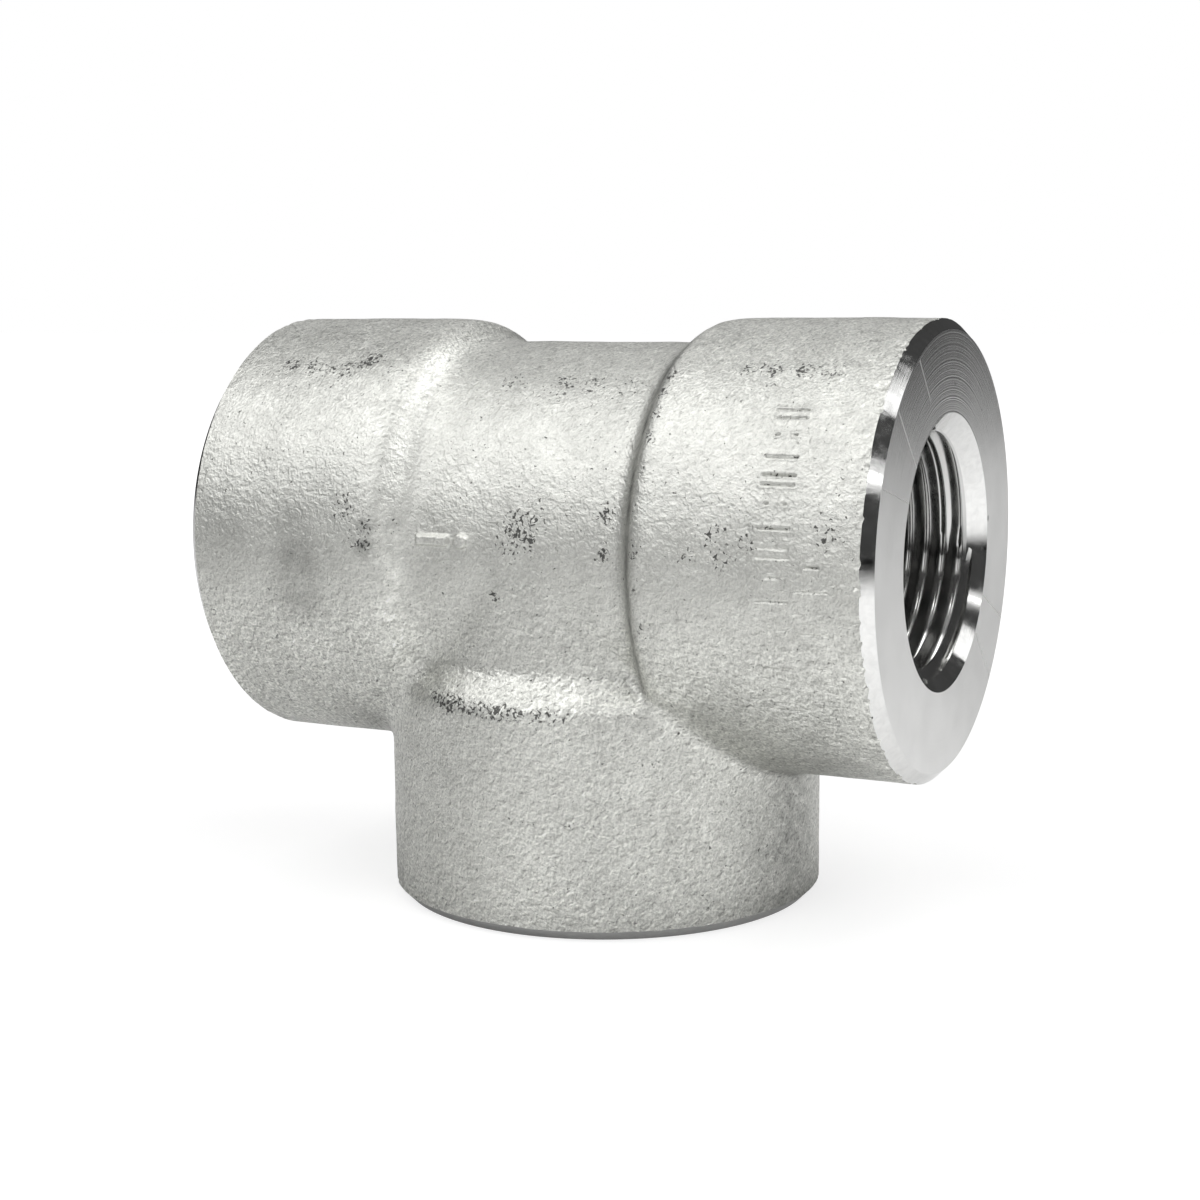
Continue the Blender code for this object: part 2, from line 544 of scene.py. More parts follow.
def bare_steel(name, grey, roughness, tints):
    """A new bare steel, with its shader and its Object coordinates."""
    material = bpy.data.materials.new(name)
    material.use_nodes = True
    shader = material.node_tree.nodes["Principled BSDF"]
    shader.inputs["Base Color"].default_value = (*(grey * tint for tint in tints), 1)
    shader.inputs["Metallic"].default_value = 1.0
    shader.inputs["Roughness"].default_value = roughness
    place = add(material, "ShaderNodeTexCoord", {}).outputs["Object"]
    return material, shader, place


def grain_of(material, place, waves, detail=2.0, wander=0.0):
    """A fractal noise with so many waves to the metre."""
    inputs = {"Vector": place, "Scale": waves, "Detail": detail, "Distortion": wander}
    return add(material, "ShaderNodeTexNoise", inputs).outputs["Fac"]


def tinted(material, grey, tints):
    """Steel's colour at a changing grey."""
    parts = {
        name: calc(material, "MULTIPLY", grey, tint)
        for name, tint in zip(("Red", "Green", "Blue"), tints)
    }
    return add(material, "ShaderNodeCombineColor", parts).outputs[0]


def relief(material, shader, height, depth):
    """Makes a shader's surface rise and fall with a height from 0 to 1."""
    node = add(material, "ShaderNodeBump", {"Height": height, "Distance": depth})
    wire(material, node.outputs["Normal"], shader, "Normal")


def forged_skin():
    """Blasted and pickled skin: ripples with painted shade on their lower right sides, a fine grain
    with dark dips, stains, dark pits, dark patches, and painted shade and highlights.
    """
    material, shader, place = bare_steel("forged_skin", SKIN_GREY, SKIN_ROUGHNESS, SKIN_TINT)
    ripple = grain_of(material, place, RIPPLE, RIPPLE_DETAIL, RIPPLE_WANDER)
    grain = grain_of(material, place, GRAIN)
    stain = grain_of(material, place, STAIN, detail=3.0)
    blotch = grain_of(material, place, BLOTCH, detail=1.0)
    speck = grain_of(material, place, SPECK, detail=1.0, wander=0.6)
    pitting = add(material, "ShaderNodeAttribute", {}, attribute_name="pitting").outputs["Fac"]
    thick = calc(material, "ADD", speck, calc(material, "MULTIPLY", pitting, PITTING_GAIN))
    pit = ramp(material, thick, *PIT_EDGE, 0.0, 1.0)
    fine = calc(material, "MULTIPLY", grain, GRAIN_SHARE)
    height = calc(material, "ADD", ripple, fine)
    sunk = calc(material, "SUBTRACT", height, calc(material, "MULTIPLY", pit, PIT_SUNK))
    relief(material, shader, sunk, RELIEF)
    grey = ramp(material, stain, *STAIN_SPREAD, SKIN_GREY - STAINED, SKIN_GREY + STAINED)
    grey = calc(material, "MULTIPLY", grey, ramp(material, blotch, *BLOTCH_SPREAD, *BLOTCHED))
    parts = add(material, "ShaderNodeSeparateXYZ", {0: place})
    off_clean = calc(material, "SUBTRACT", parts.outputs["Z"], CLEAN_HEIGHT)
    off_clean = calc(material, "ABSOLUTE", off_clean)
    contrast = ramp(material, off_clean, *CLEAN_REACH, CLEAN_SHARE * MOTTLE, MOTTLE)
    on_left = ramp(material, parts.outputs["X"], *LEFT_FADE, ROUGHER_LEFT, 1.0)
    contrast = calc(material, "MULTIPLY", contrast, on_left)
    # Painted shade: each ripple is darker on its lower right side and lighter on its upper left
    beside = vector(material, "ADD", place, LEE_SIDE).outputs[0]
    ripple_beside = grain_of(material, beside, RIPPLE, RIPPLE_DETAIL, RIPPLE_WANDER)
    lee = calc(material, "SUBTRACT", ripple, ripple_beside)
    lee = calc(material, "MULTIPLY", lee, LEE_DARK)
    mottle = calc(material, "ADD", fine, lee)
    mottle = calc(material, "SUBTRACT", mottle, GRAIN_SHARE / 2)
    mottle = calc(material, "MULTIPLY", mottle, contrast)
    grey = calc(material, "MULTIPLY", grey, calc(material, "ADD", mottle, 1.0))
    clean = calc(material, "SUBTRACT", 1.0, calc(material, "MULTIPLY", pit, 1 - PIT_SHADE))
    grey = calc(material, "MULTIPLY", grey, clean)
    # Dark patches, painted shade and painted highlights from the attribute, broken up by the
    # blotches
    smudge = add(material, "ShaderNodeAttribute", {}, attribute_name="smudge").outputs["Fac"]
    broken = ramp(material, blotch, *BLOTCH_SPREAD, *SMUDGE_BROKEN)
    smudge = calc(material, "MULTIPLY", smudge, broken)
    grey = calc(material, "MULTIPLY", grey, calc(material, "SUBTRACT", 1.0, smudge))
    wire(material, tinted(material, grey, SKIN_TINT), shader, "Base Color")
    return material


SKIN, FACE, BRIGHT, THREAD = range(4)
tee.data.materials.clear()
tee.data.materials.append(forged_skin())

# Machined ends
# Each end is faced and chamfered on a lathe, then drilled, countersunk and bored to the
# thread's taper. The tools below are the shapes that the metal is cut back to.

# The thread: radius of its crests at the end face, its height, how fast the radius falls, and
# how deep it goes
CREST = 0.01183
THREAD_HEIGHT = 0.00145
TAPER = 1 / 32
THREAD_DEPTH = 0.0185
THREAD_END = REACH - THREAD_DEPTH
# Radius of the countersink at the end face, a little wider than the thread's grooves
MOUTH_SPARE = 0.00062
MOUTH = CREST + THREAD_HEIGHT + MOUTH_SPARE
# The countersink stops a little short, and leaves a lip before the first full turn
SINK_STOP = 0.00172
LIP = 0.00196
# The step from the thread down to the flow bore, that bore's radius, and how long the point of
# the branch's drill is
LEAD = 0.00055
FLOW = CREST - THREAD_DEPTH * TAPER - LEAD
DRILL_POINT = 0.002
# How far the tools reach past the metal, and the end tool past the chamfer
CLEAR = 0.006
PAST_CHAMFER = 0.001
SAME_PLACE = 0.00001
# Prime numbers of sides, so that no corners of two tools fall together
DRILL_SIDES = 157
END_SIDES = 251
CUT_TINT = (1.0, 1.0, 0.985)
PATCH_SPREAD = (0.3, 0.7)
# The turned faces: rings and patches to the metre, how deep the rings are, the patches' greys,
# and how far light is drawn out across the rings
FACE_GREY = 0.70
FACE_ROUGHNESS = 0.24
FACE_RINGS = 5200
FACE_RELIEF = 0.000016
FACE_PATCHES = 260
FACE_GREYS = (0.67, 0.73)
FACE_DRAWN = 0.7
# Scratches across the right end face: both ends of each, as millimetres back and up, and half
# its width, also in millimetres
SCRATCHES = [
    ((-10.0, 19.3), (-6.4, 15.3), 0.12),
    ((-15.9, 14.8), (-10.3, 9.1), 0.14),
    ((-20.9, 8.3), (-11.6, 5.9), 0.07),
    ((12.8, -5.9), (20.9, -9.7), 0.09),
    ((10.5, -9.6), (16.3, -15.6), 0.10),
]
SCRATCH_DEPTH = 2.0
SCRATCH_BRIGHT = 0.12
SCRATCH_ROUGH = 0.25
# Nicks in it: millimetres back and up, and radius
NICKS = [((14.1, 2.1), 0.30), ((1.3, 16.7), 0.16), ((10.9, 13.6), 0.14)]
NICK_DARK = 0.4
# The chamfers and countersinks: how rough their patches are, and the greys of their streaks
CHAMFER_GREY = 0.70
CHAMFER_ROUGHNESS = 0.08
CHAMFER_RINGS = 8000
CHAMFER_RELIEF = 0.0000025
CHAMFER_PATCHES = 900
CHAMFER_ROUGH = (0.06, 0.16)
CHAMFER_STREAKS = 1100
CHAMFER_GREYS = (0.74, 0.67)
CHAMFER_SPREAD = (0.35, 0.7)
# The threads' flanks
FLANK_GREY = 0.59
FLANK_ROUGHNESS = 0.16
FLANK_MARKS = 7000
FLANK_RELIEF = 0.0000005
FLANK_PATCHES = 500
FLANK_ROUGH = (0.12, 0.20)
FLANK_DRAWN = 0.6


def round_the_leg(material, place):
    """Distance from the nearest leg's axis, distance along it, the way out, and the axis."""
    middle = vector(material, "SUBTRACT", place, CROSSING).outputs[0]
    parts = add(material, "ShaderNodeSeparateXYZ", {0: middle})
    along_run = calc(material, "ABSOLUTE", parts.outputs["X"])
    down_branch = calc(material, "MULTIPLY", parts.outputs["Z"], -1.0)
    on_branch = calc(material, "GREATER_THAN", down_branch, along_run)
    out_of_run = vector(material, "MULTIPLY", middle, (0, 1, 1)).outputs[0]
    out_of_branch = vector(material, "MULTIPLY", middle, (1, 1, 0)).outputs[0]
    outwards, axis = (
        add(
            material, "ShaderNodeMix", {"Factor": on_branch, 4: run, 5: branch}, data_type="VECTOR"
        ).outputs[1]
        for run, branch in ((out_of_run, out_of_branch), ((1, 0, 0), (0, 0, 1)))
    )
    return {
        "radius": vector(material, "LENGTH", outwards).outputs["Value"],
        "along": calc(material, "MAXIMUM", along_run, down_branch),
        "outwards": outwards,
        "axis": axis,
    }


def tool_marks(material, distance, waves):
    """Uneven turning marks: a noise that changes only with one distance."""
    inputs = {"W": distance, "Scale": waves, "Detail": 3.0}
    return add(material, "ShaderNodeTexNoise", inputs, noise_dimensions="1D").outputs["Fac"]


def on_right_end(back, up):
    """A point of the right end face, from millimetres back and up."""
    return CROSSING + Vector((REACH, back / 1000, up / 1000))


def scratched(material, place):
    """1 on the scratches of the right end face, and 0 elsewhere."""
    mask = None
    for start, end, half_width in SCRATCHES:
        start, end = on_right_end(*start), on_right_end(*end)
        run = (end - start).normalized()
        side = run.cross(RIGHT)
        middle = (start + end) / 2
        across = calc(
            material,
            "SUBTRACT",
            vector(material, "DOT_PRODUCT", place, side).outputs["Value"],
            middle.dot(side),
        )
        along = calc(
            material,
            "SUBTRACT",
            vector(material, "DOT_PRODUCT", place, run).outputs["Value"],
            middle.dot(run),
        )
        off_line = calc(material, "ABSOLUTE", across)
        off_middle = calc(material, "ABSOLUTE", along)
        narrow = calc(material, "LESS_THAN", off_line, half_width / 1000)
        short = calc(material, "LESS_THAN", off_middle, (end - start).length / 2)
        line = calc(material, "MULTIPLY", narrow, short)
        mask = line if mask is None else calc(material, "MAXIMUM", mask, line)
    x_place = add(material, "ShaderNodeSeparateXYZ", {0: place}).outputs["X"]
    return calc(material, "MULTIPLY", mask, calc(material, "GREATER_THAN", x_place, 0.0))


def turned_face():
    """The flat of an end: fine rings that catch the light along their radius."""
    material, shader, place = bare_steel("turned_face", FACE_GREY, FACE_ROUGHNESS, CUT_TINT)
    leg = round_the_leg(material, place)
    rings = tool_marks(material, leg["radius"], FACE_RINGS)
    scratch = scratched(material, place)
    groove = calc(material, "MULTIPLY", scratch, SCRATCH_DEPTH)
    relief(material, shader, calc(material, "SUBTRACT", rings, groove), FACE_RELIEF)
    patches = grain_of(material, place, FACE_PATCHES)
    grey = ramp(material, patches, *PATCH_SPREAD, *FACE_GREYS)
    for spot, radius in NICKS:
        off = vector(material, "DISTANCE", place, on_right_end(*spot)).outputs["Value"]
        inside = calc(material, "LESS_THAN", off, radius / 1000)
        grey = calc(material, "SUBTRACT", grey, calc(material, "MULTIPLY", inside, NICK_DARK))
    grey = calc(material, "ADD", grey, calc(material, "MULTIPLY", scratch, SCRATCH_BRIGHT))
    wire(material, tinted(material, grey, CUT_TINT), shader, "Base Color")
    rougher = calc(material, "MULTIPLY", scratch, SCRATCH_ROUGH)
    wire(material, calc(material, "ADD", FACE_ROUGHNESS, rougher), shader, "Roughness")
    shader.inputs["Anisotropic"].default_value = FACE_DRAWN
    wire(material, leg["outwards"], shader, "Tangent")
    return material


def bright_chamfer():
    """Chamfers and countersinks cut with a form tool, nearly a mirror."""
    material, shader, place = bare_steel(
        "bright_chamfer", CHAMFER_GREY, CHAMFER_ROUGHNESS, CUT_TINT
    )
    rings = tool_marks(material, round_the_leg(material, place)["along"], CHAMFER_RINGS)
    relief(material, shader, rings, CHAMFER_RELIEF)
    patches = grain_of(material, place, CHAMFER_PATCHES)
    rough = ramp(material, patches, *CHAMFER_SPREAD, *CHAMFER_ROUGH)
    wire(material, rough, shader, "Roughness")
    streaks = grain_of(material, place, CHAMFER_STREAKS, detail=3.0, wander=0.8)
    grey = ramp(material, streaks, *CHAMFER_SPREAD, *CHAMFER_GREYS)
    wire(material, tinted(material, grey, CUT_TINT), shader, "Base Color")
    return material


def tapped_thread():
    """Flanks that the tap has left almost bright, and a little rougher across the turns."""
    material, shader, place = bare_steel("tapped_thread", FLANK_GREY, FLANK_ROUGHNESS, CUT_TINT)
    leg = round_the_leg(material, place)
    down_flank = calc(material, "ADD", leg["along"], leg["radius"])
    relief(material, shader, tool_marks(material, down_flank, FLANK_MARKS), FLANK_RELIEF)
    patches = grain_of(material, place, FLANK_PATCHES)
    rough = ramp(material, patches, *PATCH_SPREAD, *FLANK_ROUGH)
    wire(material, rough, shader, "Roughness")
    shader.inputs["Anisotropic"].default_value = FLANK_DRAWN
    wire(material, leg["axis"], shader, "Tangent")
    return material


for finish in (turned_face(), bright_chamfer(), tapped_thread()):
    tee.data.materials.append(finish)
finishes = list(tee.data.materials)


def turned_tool(profile, sides):
    """A solid turned about +X from (distance, radius) points that start and end on the axis."""
    mesh = bpy.data.meshes.new("tool")
    points = [(distance, 0, radius) for distance, radius in profile]
    mesh.from_pydata(points, [(i, i + 1) for i in range(len(points) - 1)], [])
    tool = bpy.data.objects.new("tool", mesh)
    bpy.context.scene.collection.objects.link(tool)
    edit(tool, "VERT")
    bpy.ops.mesh.select_all(action="SELECT")
    bpy.ops.mesh.spin(steps=sides, angle=math.tau, center=(0, 0, 0), axis=(1, 0, 0))
    bpy.ops.mesh.select_all(action="SELECT")
    bpy.ops.mesh.remove_doubles(threshold=SAME_PLACE)
    bpy.ops.mesh.normals_make_consistent(inside=False)
    leave_edit()
    return tool


def finish_at(centre):
    """Which finish the metal gets where an end tool, still along +X, cuts it."""
    radius = math.hypot(centre.y, centre.z)
    if abs(centre.x - REACH) < SAME_PLACE:
        return FACE
    if radius > MOUTH or centre.x > REACH - SINK_STOP:
        return BRIGHT
    return THREAD


def cut(tool, way, finish):
    """Turns a tool made along +X onto a leg, and takes its shape out of the tee."""
    for material in finishes:
        tool.data.materials.append(material)
    for face in tool.data.polygons:
        face.material_index = finish(face.center)
    turn = RIGHT.rotation_difference(way).to_matrix().to_4x4()
    tool.data.transform(Matrix.Translation(CROSSING) @ turn)
    taken = tee.modifiers.new("cut", "BOOLEAN")
    taken.operation = "DIFFERENCE"
    taken.object = tool
    taken.solver = "EXACT"
    taken.material_mode = "TRANSFER"
    apply_modifiers(tee)
    bpy.data.objects.remove(tool)


drilled = REACH + CLEAR
through = turned_tool([(-drilled, 0), (-drilled, FLOW), (drilled, FLOW), (drilled, 0)], DRILL_SIDES)
cut(through, RIGHT, lambda centre: THREAD)
into_branch = turned_tool(
    [(0.0, 0), (DRILL_POINT, FLOW), (drilled, FLOW), (drilled, 0)], DRILL_SIDES
)
cut(into_branch, DOWN, lambda centre: THREAD)
beyond = CHAMFER + PAST_CHAMFER
for way in (RIGHT, LEFT, DOWN):
    end_tool = turned_tool(
        [
            (THREAD_END - 2 * LEAD, 0),
            (THREAD_END - 2 * LEAD, FLOW - LEAD),
            (THREAD_END, FLOW + LEAD),
            (REACH - LIP, CREST - LIP * TAPER),
            (REACH - SINK_STOP, MOUTH - SINK_STOP),
            (REACH, MOUTH),
            (REACH, COLLAR - CHAMFER),
            (REACH - beyond, COLLAR - CHAMFER + beyond),
            (REACH - beyond, COLLAR + CLEAR),
            (REACH + CLEAR, COLLAR + CLEAR),
            (REACH + CLEAR, 0),
        ],
        END_SIDES,
    )
    cut(end_tool, way, finish_at)

# Tapped threads
# Each end is tapped with the 3/4 inch taper pipe thread, 14 turns to the inch. In the upper
# half of the hole its flanks are worn round on the side of the mouth, and its grooves fade out
# where the tap's lead ended.

PITCH = 0.0254 / 14
# How deep a groove is at each share of a turn, from the inner side of one crest to the next:
# where it is worn round, and where it is still sharp
TURN_SHAPE = [
    (0.02, (0.0, 0.0)),
    (0.06, (0.05, 0.05)),
    (0.30, (0.68, 0.62)),
    (0.36, (0.68, 0.76)),
    (0.44, (0.53, 0.95)),
    (0.58, (0.33, 0.90)),
    (0.72, (0.175, 0.56)),
    (0.86, (0.055, 0.22)),
    (0.98, (0.0, 0.0)),
]
# How worn the thread is at its mouth and further in, and between which turns that changes.
# Its lower half has stayed sharp: between which shares of its radius up that begins.
WORN = (0.72, 0.24)
WORN_TURNS = (3.3, 4.0)
WORN_ABOVE = (-0.25, 0.15)
# Turns of the tap, between which of them it starts to cut, and over how many it stops
TURNS = 10
RUN_IN = (1.5, 1.9)
RUN_OUT = 2.5
# Where the tap's outer end is, some pitches in front of the end face
AHEAD = 1.16
LEAD_IN = REACH + AHEAD * PITCH
# How far inside the crests the tap is where it doesn't cut, in thread heights, and at a crest
IDLE_DEPTH = 0.25
UNDER_CREST = 0.00002
# Sides of the tap at the end that shows and at the others, and by what part of a side it is
# turned, so that its corners fall beside those of the other tools
SHOWN_SIDES = 127
HIDDEN_SIDES = 71
TURNED_BY = 0.37
# Machined corners with more than so many degrees stay sharp
SHARP_DEGREES = 50


def tap_radius(turns_in, height, up):
    """Radius of the tap at a number of turns from its outer end, and so far up (-1 to 1)."""
    change = min(1.0, max(0.0, (turns_in - WORN_TURNS[0]) / (WORN_TURNS[1] - WORN_TURNS[0])))
    worn = WORN[0] + (WORN[1] - WORN[0]) * change
    worn *= smooth_step((up - WORN_ABOVE[0]) / (WORN_ABOVE[1] - WORN_ABOVE[0]))
    height = height[0] * worn + height[1] * (1 - worn)
    depth = turns_in * PITCH - (LEAD_IN - REACH)
    begun = (turns_in - RUN_IN[0]) / (RUN_IN[1] - RUN_IN[0])
    cutting = min(1.0, max(0.0, begun), max(0.0, (TURNS - turns_in) / RUN_OUT))
    above_crest = height * cutting - IDLE_DEPTH * (1 - cutting)
    radius = CREST - depth * TAPER + THREAD_HEIGHT * above_crest
    return radius if height > 0 else radius - UNDER_CREST


def tap(sides):
    """A tapered tap along +X: a tube of helical rows, closed by a point at each end."""
    mesh = bmesh.new()
    rows = [
        (turn + share, height) for turn in range(TURNS) for share, height in TURN_SHAPE
    ] + [(float(TURNS), (0.0, 0.0))]
    grid = []
    for turns_in, height in rows:
        ring = []
        for side in range(sides):
            angle = math.tau * (side + TURNED_BY) / sides
            here = turns_in + side / sides
            radius = tap_radius(here, height, math.cos(angle))
            spot = (LEAD_IN - here * PITCH, radius * math.sin(angle), radius * math.cos(angle))
            ring.append(mesh.verts.new(spot))
        grid.append(ring)
    one_turn = len(TURN_SHAPE)
    for row in range(len(rows) - 1):
        for side in range(sides - 1):
            mesh.faces.new(
                (grid[row][side], grid[row][side + 1], grid[row + 1][side + 1], grid[row + 1][side])
            )
        if row + one_turn + 1 < len(rows):
            mesh.faces.new(
                (
                    grid[row][-1],
                    grid[row + one_turn][0],
                    grid[row + one_turn + 1][0],
                    grid[row + 1][-1],
                )
            )
    loose = [vert for vert in mesh.verts if not vert.link_faces]
    bmesh.ops.delete(mesh, geom=loose, context="VERTS")
    middle = LEAD_IN - TURNS * PITCH / 2
    open_edges = [edge for edge in mesh.edges if edge.is_boundary]
    for outer, spot in ((True, LEAD_IN + PITCH), (False, LEAD_IN - (TURNS + 1) * PITCH)):
        point = mesh.verts.new((spot, 0, 0))
        for edge in open_edges:
            if (edge.verts[0].co.x > middle) == outer:
                mesh.faces.new((*edge.verts, point))
    bmesh.ops.recalc_face_normals(mesh, faces=mesh.faces)
    data = bpy.data.meshes.new("tap")
    mesh.to_mesh(data)
    mesh.free()
    tool = bpy.data.objects.new("tap", data)
    bpy.context.scene.collection.objects.link(tool)
    return tool


for way, sides in ((RIGHT, SHOWN_SIDES), (LEFT, HIDDEN_SIDES), (DOWN, HIDDEN_SIDES)):
    cut(tap(sides), way, lambda centre: THREAD)

only(tee)
bpy.ops.object.shade_smooth()
shape = bmesh.new()
shape.from_mesh(tee.data)
for seam in shape.edges:
    if len(seam.link_faces) != 2:
        continue
    one, other = seam.link_faces
    machined = one.material_index != SKIN and other.material_index != SKIN
    seam.smooth = not (
        one.material_index != other.material_index
        or (machined and seam.calc_face_angle(0.0) > math.radians(SHARP_DEGREES))
    )
shape.to_mesh(tee.data)
shape.free()
flat_flanks = tee.modifiers.new("flat flanks", "WEIGHTED_NORMAL")
flat_flanks.keep_sharp = True
apply_modifiers(tee)

# Pits in the skin
# Scale that was pressed into the hot metal has left small dark pits. They lie close together
# in some places, and in rows along the collars where the flash was trimmed.

# Where they lie: millimetres from the crossing, size, and how thick they lie
PITTED = [
    ((-20.8, -13.3, 19.1), 1.3, 0.9),
    ((-30.0, -14.2, 18.3), 1.3, 0.72),
    ((-27.5, -14.2, 18.3), 1.2, 0.66),
    ((-25.2, -14.2, 18.3), 1.2, 0.7),
    ((-23.0, -14.3, 18.2), 1.2, 0.66),
    ((-22.6, -15.6, 17.1), 0.6, 0.7),
    ((22.5, -14.0, 18.5), 1.0, 0.7),
    ((25.0, -14.0, 18.5), 1.1, 0.8),
    ((28.0, -14.0, 18.5), 1.1, 0.8),
    ((31.0, -14.0, 18.5), 1.1, 0.7),
    ((25.1, -15.8, 17.1), 0.6, 0.5),
    ((0.9, -20.6, 2.6), 1.9, 0.85),
    ((-0.6, -20.8, 1.2), 1.5, 0.6),
    ((1.8, -20.3, 4.2), 1.5, 0.62),
    ((-4.0, -11.8, 17.1), 1.6, 0.42),
    ((0.5, -13.0, 16.2), 1.6, 0.40),
    ((5.0, -12.0, 17.0), 1.8, 0.45),
    ((9.0, -12.6, 16.5), 1.6, 0.42),
    ((10.1, -20.3, 4.7), 0.8, 1.0),
    ((10.0, -20.8, 0.9), 0.6, 1.5),
    ((-2.2, -20.4, -4.0), 0.8, 0.7),
    ((-14.5, -21.6, 8.6), 0.6, 0.7),
    ((-16.1, -23.2, 1.4), 1.5, 0.55),
    ((-15.6, -23.1, 3.0), 1.2, 0.45),
    ((-18.3, -22.8, 4.6), 1.4, 0.45),
    ((1.6, -12.0, 17.0), 1.3, 0.6),
    ((-9.4, -21.3, -14.3), 1.0, 0.85),
    ((-7.9, -21.9, -14.6), 1.0, 1.0),
    ((-6.6, -22.3, -14.8), 0.9, 1.0),
    ((-5.3, -22.6, -14.9), 0.9, 0.95),
    ((-3.9, -22.9, -15.0), 0.8, 0.8),
    ((-2.5, -23.1, -15.0), 0.8, 0.95),
    ((-1.2, -23.2, -15.1), 0.8, 1.0),
    ((0.2, -23.2, -15.1), 0.8, 0.9),
    ((1.7, -23.2, -15.1), 0.8, 0.85),
    ((3.8, -22.9, -15.1), 0.8, 0.8),
    ((5.4, -22.6, -15.1), 0.7, 0.75),
    ((6.8, -22.2, -15.0), 0.6, 0.6),
    ((6.95, -22.2, -26.0), 0.5, 0.9),
    ((25.8, -23.1, 2.8), 1.0, 0.6),
    ((14.8, -22.5, -5.9), 0.8, 0.6),
    ((14.4, -14.6, 18.0), 0.8, 0.75),
    ((14.4, -16.5, 16.3), 0.8, 0.75),
    ((14.4, -18.2, 14.4), 0.8, 0.7),
    ((14.4, -19.6, 12.4), 0.8, 0.65),
    ((14.3, -21.3, 9.2), 0.7, 0.55),
    ((14.3, -22.6, 5.0), 0.7, 0.6),
    ((14.3, -23.1, 1.5), 0.8, 0.75),
    ((22.0, -22.8, 3.4), 1.2, 0.55),
    ((23.5, -23.1, 1.4), 1.2, 0.6),
    ((20.0, -23.1, 1.0), 1.0, 0.55),
    ((33.5, -22.7, 4.2), 1.2, 0.6),
]
# More of them lie by chance on the back half: how many, behind which plane, their sizes, and
# how thick they lie
ELSEWHERE = 36
BACK_FROM = 0.004
BACK_SIZES = (0.0005, 0.0018)
BACK_THICK = (0.5, 0.9)
SEED = 11
# How thickly the punched strokes are pitted and darkened, and how far along the collar from their
# row
STROKE_DIRT = 0.5
DIRT_REACH = 0.002
chance = random.Random(SEED)
back_points = [vert.co - CROSSING for vert in tee.data.vertices if vert.co.y > BACK_FROM]
patches = [(Vector(place) / 1000, size / 1000, thick) for place, size, thick in PITTED]
for place in chance.sample(back_points, ELSEWHERE):
    patches.append((place, chance.uniform(*BACK_SIZES), chance.uniform(*BACK_THICK)))

# Dark patches on the left collar, painted shade in the creases and down the branch's sides, and
# painted highlights on the branch's shoulder, which count below nothing: millimetres from the
# crossing, size, and how dark
SMUDGES = [
    # Dark patches on the left collar
    ((-24.1, -23.2, -1.1), 4.5, 0.28),
    ((-25.0, -22.9, 3.0), 3.5, 0.18),
    ((-24.1, -22.6, -5.3), 4.5, 0.26),
    ((-15.8, -23.2, 0.6), 1.8, 0.36),
    ((-15.6, -23.1, 2.8), 1.6, 0.44),
    ((-32.0, -22.6, 2.0), 5.0, 0.12),
    # Painted shade down the branch's right side
    ((22.8, -3.0, -18.0), 12.0, 0.34),
    ((22.8, -3.0, -25.0), 12.0, 0.34),
    ((22.8, -3.0, -31.0), 12.0, 0.34),
    ((22.8, -3.0, -37.0), 12.0, 0.34),
    # Painted shade down the branch's left side, where it turns away
    ((-20.7, -10.5, -20.0), 5.5, 0.24),
    ((-20.7, -10.5, -28.0), 5.5, 0.24),
    ((-20.7, -10.5, -35.0), 5.5, 0.24),
    # Painted shade in the crease where the right collar meets the branch's collar
    ((19.7, -18.1, -14.6), 3.5, 0.10),
    ((22.2, -15.5, -17.3), 3.5, 0.16),
    ((24.4, -11.7, -20.1), 3.5, 0.20),
    # Painted shade where the left shoulder meets the branch
    ((-13.0, -18.0, -11.0), 3.0, 0.10),
    # Painted highlights along the front of the branch's shoulder
    ((11.0, -19.6, -13.2), 3.0, -0.22),
    ((7.0, -21.3, -13.4), 3.0, -0.14),
    ((17.5, -19.5, -12.3), 4.5, -0.12),
]
# Painted shade on the right shoulder, darker above the middle, and a painted highlight on the left
# one: how far along each lies, how wide it is, and how dark it is below and above the middle
SHOULDERS = [(0.0130, 0.0015, 0.50, 0.62), (-0.0136, 0.0022, -0.17, -0.06)]
SHOULDER_OUT = 0.0221
# Degrees up where it begins and ends, over how many degrees it fades in and out there, and by
# how many degrees up it is as dark as above the middle
SHADE_FROM, SHADE_TO = -40, 80
SHADE_IN, SHADE_OUT = 15, 20
ABOVE_BY = 30


def shoulder_shade(place):
    """How dark the painted shade on the right shoulder is, or how bright the painted highlight on
    the left one.
    """
    up = math.degrees(math.atan2(place.z, -place.y))
    shown = smooth_step((up - SHADE_FROM) / SHADE_IN) * smooth_step((SHADE_TO - up) / SHADE_OUT)
    out = math.hypot(place.y, place.z)
    shade = 0.0
    for along, width, below, above in SHOULDERS:
        away = math.hypot(place.x - along, out - SHOULDER_OUT)
        dark = below + (above - below) * smooth_step(up / ABOVE_BY)
        shade += dark * shown * (1 - smooth_step(away / width))
    return shade


